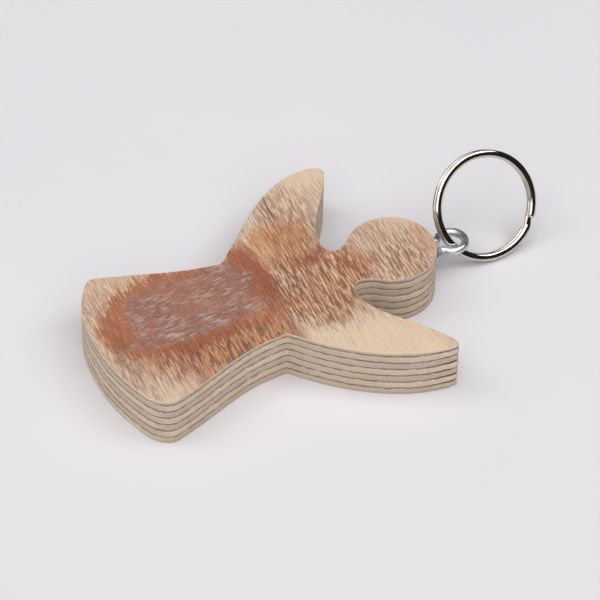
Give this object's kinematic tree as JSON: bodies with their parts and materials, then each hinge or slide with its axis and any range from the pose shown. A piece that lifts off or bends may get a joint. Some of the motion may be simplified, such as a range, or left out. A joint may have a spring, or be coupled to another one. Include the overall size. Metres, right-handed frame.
{
  "type": "keychain",
  "caption": "Flat wooden angel sawn from thick plywood, with a screw eye in its head and a split ring that swings in the eye.",
  "frame": {"origin": "on the back face and the angel's centre line, 44.6 mm from the hem", "axes": "+Y from the hem to the head, +Z from the back face up through the board, +X towards the wing on the right as seen from above"},
  "size_m": [0.0635, 0.1087, 0.0218],
  "materials": {
    "face_wood": "worn stain, satin",
    "core_wood": "sawn, matt",
    "back_wood": "bare, matt",
    "glue": "matt",
    "zinc": "bright zinc",
    "nickel": "polished nickel"
  },
  "bodies": {
    "angel": {"face_veneer": "face_wood", "core_veneer_1": "core_wood", "core_veneer_2": "core_wood", "core_veneer_3": "core_wood", "core_veneer_4": "core_wood", "core_veneer_5": "core_wood", "back_veneer": "back_wood", "glue_line_1": "glue", "glue_line_2": "glue", "glue_line_3": "glue", "glue_line_4": "glue", "glue_line_5": "glue", "glue_line_6": "glue", "screw_eye": "zinc"},
    "ring": {"split_ring": "nickel"}
  },
  "joints": [
    {"name": "ring_swing", "type": "hinge", "parent": "angel", "child": "ring", "pos_m": [-0.0016, 0.0418, 0.0067], "axis": [0, 1, 0], "range_deg": [0, 62]}
  ]
}
